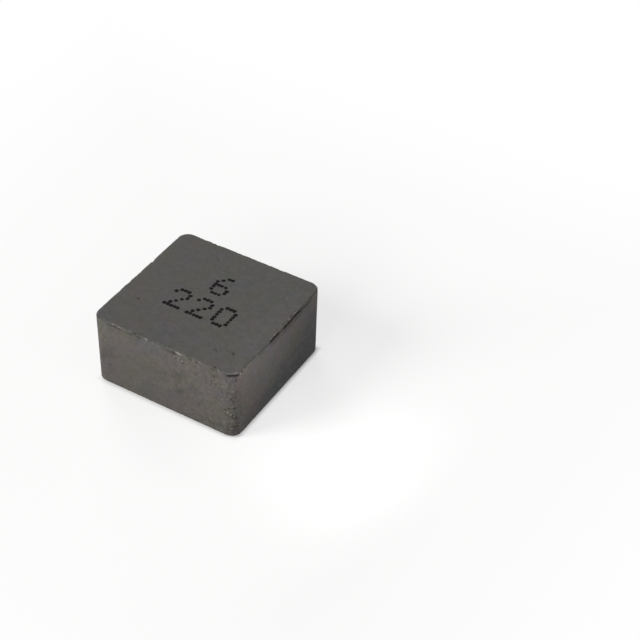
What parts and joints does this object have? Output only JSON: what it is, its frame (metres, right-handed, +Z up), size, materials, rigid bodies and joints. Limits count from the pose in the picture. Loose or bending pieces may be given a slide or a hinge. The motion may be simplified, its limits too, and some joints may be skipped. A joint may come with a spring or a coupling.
{
  "type": "shielded smd inductor",
  "caption": "Shielded surface-mount power inductor: a moulded magnetic block round a T-core and a flat-wire coil, with two long solder pads in its base.",
  "frame": {"origin": "centre of the footprint, on the solder plane under the terminals", "axes": "+X along the body's long side and along the terminals, +Y across them, +Z up from the board"},
  "size_m": [0.0066, 0.0062, 0.0033],
  "materials": {
    "moulded_composite": "matte",
    "core_composite": "matte",
    "enamelled_copper": "satin",
    "tinned_copper": "satin"
  },
  "bodies": {
    "root": {"shield_body": "moulded_composite", "t_core": "core_composite", "winding": "enamelled_copper", "terminal_a": "tinned_copper", "terminal_b": "tinned_copper"}
  },
  "joints": []
}
